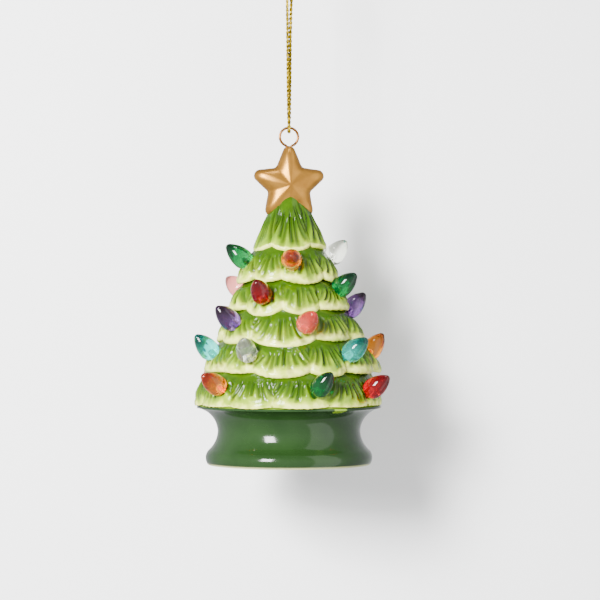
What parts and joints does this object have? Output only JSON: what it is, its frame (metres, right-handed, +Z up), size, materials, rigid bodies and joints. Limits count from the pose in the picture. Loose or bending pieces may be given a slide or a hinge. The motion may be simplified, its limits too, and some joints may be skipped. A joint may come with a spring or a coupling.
{
  "type": "ceramic christmas tree ornament",
  "caption": "Hanging ceramic tree ornament with tiered glazed boughs, push-in coloured plastic bulbs, a gold star, a round green base and a gold cord loop.",
  "frame": {"origin": "inside top of the hanging loop, where a hook or twig holds the cord", "axes": "+Z up along the tree's axis, -Y out of the star's front face, +X to the right seen from the front"},
  "size_m": [0.0588, 0.0663, 0.159],
  "materials": {
    "gold_cord": "metallic gold thread",
    "copper_wire": "bright drawn wire",
    "gold_star": "satin gold lustre",
    "bough_glaze": "gloss glaze, pale on the edges and dark in the grooves",
    "base_glaze": "gloss green glaze",
    "green_plastic": "clear moulded plastic",
    "orange_plastic": "clear moulded plastic",
    "clear_plastic": "clear moulded plastic",
    "red_plastic": "clear moulded plastic",
    "pink_plastic": "clear moulded plastic",
    "aqua_plastic": "clear moulded plastic",
    "purple_plastic": "clear moulded plastic",
    "coral_plastic": "clear moulded plastic",
    "amber_plastic": "clear moulded plastic"
  },
  "bodies": {
    "hanging_cord": {"cord_loop": "gold_cord", "cord_knot": "gold_cord"},
    "ornament": {"hanger_wire": "copper_wire", "star_topper": "gold_star", "tree_casting": "bough_glaze", "base_casting": "base_glaze"},
    "bulb_2_green": {"bulb_2_green": "green_plastic"},
    "bulb_2_orange": {"bulb_2_orange": "orange_plastic"},
    "bulb_2_clear": {"bulb_2_clear": "clear_plastic"},
    "bulb_2_red": {"bulb_2_red": "red_plastic"},
    "bulb_3_pink": {"bulb_3_pink": "pink_plastic"},
    "bulb_3_red": {"bulb_3_red": "red_plastic"},
    "bulb_3_green": {"bulb_3_green": "green_plastic"},
    "bulb_3_aqua": {"bulb_3_aqua": "aqua_plastic"},
    "bulb_4_purple_left": {"bulb_4_purple_left": "purple_plastic"},
    "bulb_4_coral": {"bulb_4_coral": "coral_plastic"},
    "bulb_4_purple_right": {"bulb_4_purple_right": "purple_plastic"},
    "bulb_4_green": {"bulb_4_green": "green_plastic"},
    "bulb_4_amber": {"bulb_4_amber": "amber_plastic"},
    "bulb_5_aqua_left": {"bulb_5_aqua_left": "aqua_plastic"},
    "bulb_5_clear": {"bulb_5_clear": "clear_plastic"},
    "bulb_5_aqua_right": {"bulb_5_aqua_right": "aqua_plastic"},
    "bulb_5_amber": {"bulb_5_amber": "amber_plastic"},
    "bulb_5_red": {"bulb_5_red": "red_plastic"},
    "bulb_5_purple": {"bulb_5_purple": "purple_plastic"},
    "bulb_6_orange": {"bulb_6_orange": "orange_plastic"},
    "bulb_6_green": {"bulb_6_green": "green_plastic"},
    "bulb_6_red": {"bulb_6_red": "red_plastic"},
    "bulb_6_clear": {"bulb_6_clear": "clear_plastic"},
    "bulb_6_aqua": {"bulb_6_aqua": "aqua_plastic"},
    "bulb_6_pink": {"bulb_6_pink": "pink_plastic"}
  },
  "joints": [
    {"name": "ornament_swing", "type": "hinge", "parent": "hanging_cord", "child": "ornament", "pos_m": [0, 0, -0.0599], "axis": [0, 1, 0], "range_deg": [-60, 60]},
    {"name": "pull_2_green", "type": "slide", "parent": "ornament", "child": "bulb_2_green", "axis": [-0.7656, 0.0267, 0.6428], "range_m": [0, 0.006]},
    {"name": "pull_2_orange", "type": "slide", "parent": "ornament", "child": "bulb_2_orange", "axis": [-0.12, -0.9775, 0.1736], "range_m": [0, 0.006]},
    {"name": "pull_2_clear", "type": "slide", "parent": "ornament", "child": "bulb_2_clear", "axis": [0.6397, 0.3546, 0.682], "range_m": [0, 0.006]},
    {"name": "pull_2_red", "type": "slide", "parent": "ornament", "child": "bulb_2_red", "axis": [-0.0986, 0.803, 0.5878], "range_m": [0, 0.006]},
    {"name": "pull_3_pink", "type": "slide", "parent": "ornament", "child": "bulb_3_pink", "axis": [-0.5451, 0.6496, 0.5299], "range_m": [0, 0.006]},
    {"name": "pull_3_red", "type": "slide", "parent": "ornament", "child": "bulb_3_red", "axis": [-0.3596, -0.6764, 0.6428], "range_m": [0, 0.006]},
    {"name": "pull_3_green", "type": "slide", "parent": "ornament", "child": "bulb_3_green", "axis": [0.5935, -0.5344, 0.6018], "range_m": [0, 0.006]},
    {"name": "pull_3_aqua", "type": "slide", "parent": "ornament", "child": "bulb_3_aqua", "axis": [0.4045, 0.7006, 0.5878], "range_m": [0, 0.006]},
    {"name": "pull_4_purple_left", "type": "slide", "parent": "ornament", "child": "bulb_4_purple_left", "axis": [-0.6938, -0.2663, 0.6691], "range_m": [0, 0.006]},
    {"name": "pull_4_coral", "type": "slide", "parent": "ornament", "child": "bulb_4_coral", "axis": [0.2387, -0.8325, 0.5], "range_m": [0, 0.006]},
    {"name": "pull_4_purple_right", "type": "slide", "parent": "ornament", "child": "bulb_4_purple_right", "axis": [0.6797, 0.1949, 0.7071], "range_m": [0, 0.006]},
    {"name": "pull_4_green", "type": "slide", "parent": "ornament", "child": "bulb_4_green", "axis": [0.2695, 0.7405, 0.6157], "range_m": [0, 0.006]},
    {"name": "pull_4_amber", "type": "slide", "parent": "ornament", "child": "bulb_4_amber", "axis": [-0.5474, 0.5668, 0.6157], "range_m": [0, 0.006]},
    {"name": "pull_5_aqua_left", "type": "slide", "parent": "ornament", "child": "bulb_5_aqua_left", "axis": [-0.6645, -0.2418, 0.7071], "range_m": [0, 0.006]},
    {"name": "pull_5_clear", "type": "slide", "parent": "ornament", "child": "bulb_5_clear", "axis": [-0.2402, -0.7391, 0.6293], "range_m": [0, 0.006]},
    {"name": "pull_5_aqua_right", "type": "slide", "parent": "ornament", "child": "bulb_5_aqua_right", "axis": [0.6124, -0.4959, 0.6157], "range_m": [0, 0.006]},
    {"name": "pull_5_amber", "type": "slide", "parent": "ornament", "child": "bulb_5_amber", "axis": [0.6049, 0.1735, 0.7771], "range_m": [0, 0.006]},
    {"name": "pull_5_red", "type": "slide", "parent": "ornament", "child": "bulb_5_red", "axis": [0.4284, 0.6351, 0.6428], "range_m": [0, 0.006]},
    {"name": "pull_5_purple", "type": "slide", "parent": "ornament", "child": "bulb_5_purple", "axis": [-0.4394, 0.6275, 0.6428], "range_m": [0, 0.006]},
    {"name": "pull_6_orange", "type": "slide", "parent": "ornament", "child": "bulb_6_orange", "axis": [-0.7263, -0.4717, 0.5], "range_m": [0, 0.006]},
    {"name": "pull_6_green", "type": "slide", "parent": "ornament", "child": "bulb_6_green", "axis": [0.4624, -0.551, 0.6947], "range_m": [0, 0.006]},
    {"name": "pull_6_red", "type": "slide", "parent": "ornament", "child": "bulb_6_red", "axis": [0.6533, -0.5104, 0.5592], "range_m": [0, 0.006]},
    {"name": "pull_6_clear", "type": "slide", "parent": "ornament", "child": "bulb_6_clear", "axis": [0.6861, 0.4287, 0.5878], "range_m": [0, 0.006]},
    {"name": "pull_6_aqua", "type": "slide", "parent": "ornament", "child": "bulb_6_aqua", "axis": [0, 0.809, 0.5878], "range_m": [0, 0.006]},
    {"name": "pull_6_pink", "type": "slide", "parent": "ornament", "child": "bulb_6_pink", "axis": [-0.5308, 0.6106, 0.5878], "range_m": [0, 0.006]}
  ]
}
